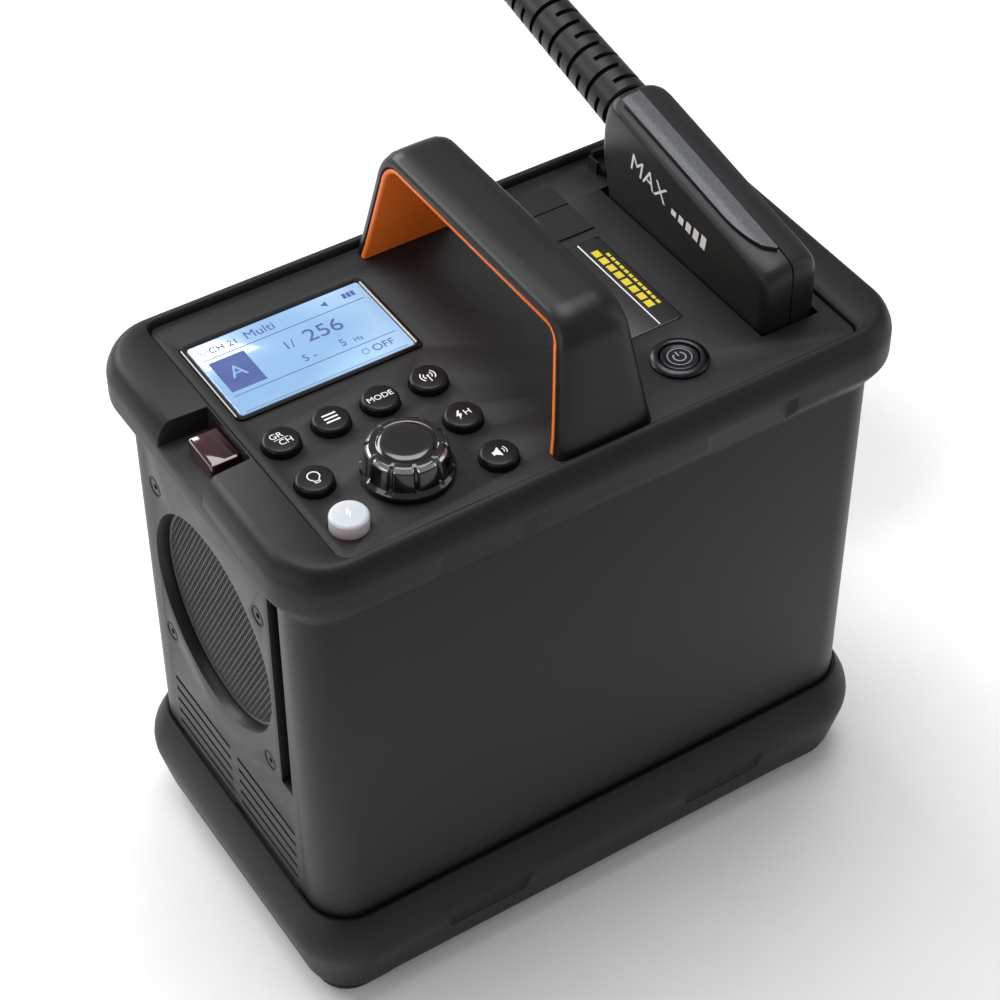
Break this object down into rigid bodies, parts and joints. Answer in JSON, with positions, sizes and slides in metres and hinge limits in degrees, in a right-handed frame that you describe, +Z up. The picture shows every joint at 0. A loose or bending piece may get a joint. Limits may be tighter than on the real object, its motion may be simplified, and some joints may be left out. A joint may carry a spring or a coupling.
{
  "type": "studio flash power pack",
  "caption": "Studio flash power pack: boxy body between bumpers, carry handle over a panel with display, keys and dial, fan in one end, battery in the other, and a plugged-in head lead.",
  "frame": {"origin": "on the floor under the middle of the pack, without its lead", "axes": "+X along the long side from the fan end to the battery end, +Z up, -Y the long side nearest the dial and keys"},
  "size_m": [0.355, 0.2803, 0.2692],
  "materials": {
    "black_plastic": "fine texture",
    "panel_plastic": "fine speckle",
    "sleeve_paint": "satin",
    "orange_rubber": "smooth",
    "black_rubber": "matt",
    "white_key": "satin",
    "display": "clear",
    "sensor": "dark tint",
    "steel": "satin",
    "aluminium": "satin",
    "board": "solder mask",
    "can": "sleeved",
    "coil_wrap": "tape"
  },
  "bodies": {
    "pack": {"body_sleeve": "sleeve_paint", "bottom_tray": "black_plastic", "capacitor_1": "can", "capacitor_2": "can", "capacitor_3": "can", "capacitor_4": "can", "control_board": "board", "encoder_body": "black_plastic", "fan_frame": "black_plastic", "fan_mesh": "steel", "fan_screw_1": "steel", "fan_screw_2": "steel", "fan_screw_3": "steel", "fan_screw_4": "steel", "far_connector": "black_plastic", "foot_back_left": "black_rubber", "foot_back_right": "black_rubber", "foot_front_left": "black_rubber", "foot_front_right": "black_rubber", "handle_liner": "orange_rubber", "handle_shell": "panel_plastic", "head_lead": "black_rubber", "head_lead_coil": "black_rubber", "heat_sink": "aluminium", "label_plate": "black_plastic", "lcd_bezel": "black_plastic", "lcd_module": "board", "lcd_window": "display", "mid_shelf": "steel", "output_harness": "black_rubber", "plug_boot": "black_rubber", "plug_inlay": "aluminium", "plug_shell_left": "black_plastic", "plug_shell_right": "panel_plastic", "port_block": "aluminium", "port_cover": "panel_plastic", "power_bezel": "aluminium", "power_board": "board", "sensor_window": "sensor", "socket_block": "black_plastic", "top_bumper": "black_plastic", "top_panel": "panel_plastic", "transformer": "coil_wrap"},
    "key_group_body": {"key_group": "panel_plastic"},
    "key_lamp_body": {"key_lamp": "panel_plastic"},
    "key_menu_body": {"key_menu": "panel_plastic"},
    "key_mode_body": {"key_mode": "panel_plastic"},
    "key_sound_body": {"key_sound": "panel_plastic"},
    "key_sync_body": {"key_sync": "panel_plastic"},
    "key_test_body": {"key_test": "white_key"},
    "key_wireless_body": {"key_wireless": "panel_plastic"},
    "power_button": {"power_cap": "black_plastic"},
    "dial_shaft": {"encoder_shaft": "steel"},
    "dial": {"dial_knob": "black_plastic"},
    "door": {"port_door": "panel_plastic"},
    "rotor": {"fan_rotor": "black_plastic"},
    "plug_lock": {"lock_lever": "black_plastic"},
    "battery": {"battery_pack": "panel_plastic"},
    "latch": {"battery_latch": "black_plastic"}
  },
  "joints": [
    {"name": "press_group", "type": "slide", "parent": "pack", "child": "key_group_body", "axis": [0, 0, -1], "range_m": [0, 0.001], "stiffness_N_per_m": 600, "springref_m": -0.001},
    {"name": "press_lamp", "type": "slide", "parent": "pack", "child": "key_lamp_body", "axis": [0, 0, -1], "range_m": [0, 0.001], "stiffness_N_per_m": 600, "springref_m": -0.001},
    {"name": "press_menu", "type": "slide", "parent": "pack", "child": "key_menu_body", "axis": [0, 0, -1], "range_m": [0, 0.001], "stiffness_N_per_m": 600, "springref_m": -0.001},
    {"name": "press_mode", "type": "slide", "parent": "pack", "child": "key_mode_body", "axis": [0, 0, -1], "range_m": [0, 0.001], "stiffness_N_per_m": 600, "springref_m": -0.001},
    {"name": "press_sound", "type": "slide", "parent": "pack", "child": "key_sound_body", "axis": [0, 0, -1], "range_m": [0, 0.001], "stiffness_N_per_m": 600, "springref_m": -0.001},
    {"name": "press_sync", "type": "slide", "parent": "pack", "child": "key_sync_body", "axis": [0, 0, -1], "range_m": [0, 0.001], "stiffness_N_per_m": 600, "springref_m": -0.001},
    {"name": "press_test", "type": "slide", "parent": "pack", "child": "key_test_body", "axis": [0, 0, -1], "range_m": [0, 0.001], "stiffness_N_per_m": 600, "springref_m": -0.001},
    {"name": "press_wireless", "type": "slide", "parent": "pack", "child": "key_wireless_body", "axis": [0, 0, -1], "range_m": [0, 0.001], "stiffness_N_per_m": 600, "springref_m": -0.001},
    {"name": "press_power", "type": "slide", "parent": "pack", "child": "power_button", "axis": [0, 0, -1], "range_m": [0, 0.0015], "stiffness_N_per_m": 600, "springref_m": -0.001},
    {"name": "dial_press", "type": "slide", "parent": "pack", "child": "dial_shaft", "axis": [0, 0, -1], "range_m": [0, 0.0005], "stiffness_N_per_m": 1500, "springref_m": -0.0006},
    {"name": "dial_turn", "type": "hinge", "parent": "dial_shaft", "child": "dial", "pos_m": [-0.0621, -0.0408, 0.216], "axis": [0, 0, 1], "continuous": true},
    {"name": "port_door_lift", "type": "hinge", "parent": "pack", "child": "door", "pos_m": [0.043, 0.0451, 0.2165], "axis": [-1, 0, 0], "range_deg": [0, 100]},
    {"name": "fan_spin", "type": "hinge", "parent": "pack", "child": "rotor", "pos_m": [-0.096, 0.0061, 0.1333], "axis": [-1, 0, 0], "continuous": true},
    {"name": "lock_lever_press", "type": "hinge", "parent": "pack", "child": "plug_lock", "pos_m": [0.0801, 0.057, 0.2184], "axis": [-1, 0, 0], "range_deg": [0, 18], "stiffness_Nm_per_rad": 0.02, "springref_deg": -8.59},
    {"name": "battery_slide", "type": "slide", "parent": "pack", "child": "battery", "axis": [1, 0, 0], "range_m": [0, 0.06]},
    {"name": "battery_latch_slide", "type": "slide", "parent": "battery", "child": "latch", "axis": [0, 0, -1], "range_m": [0, 0.003], "stiffness_N_per_m": 500, "springref_m": -0.001}
  ]
}
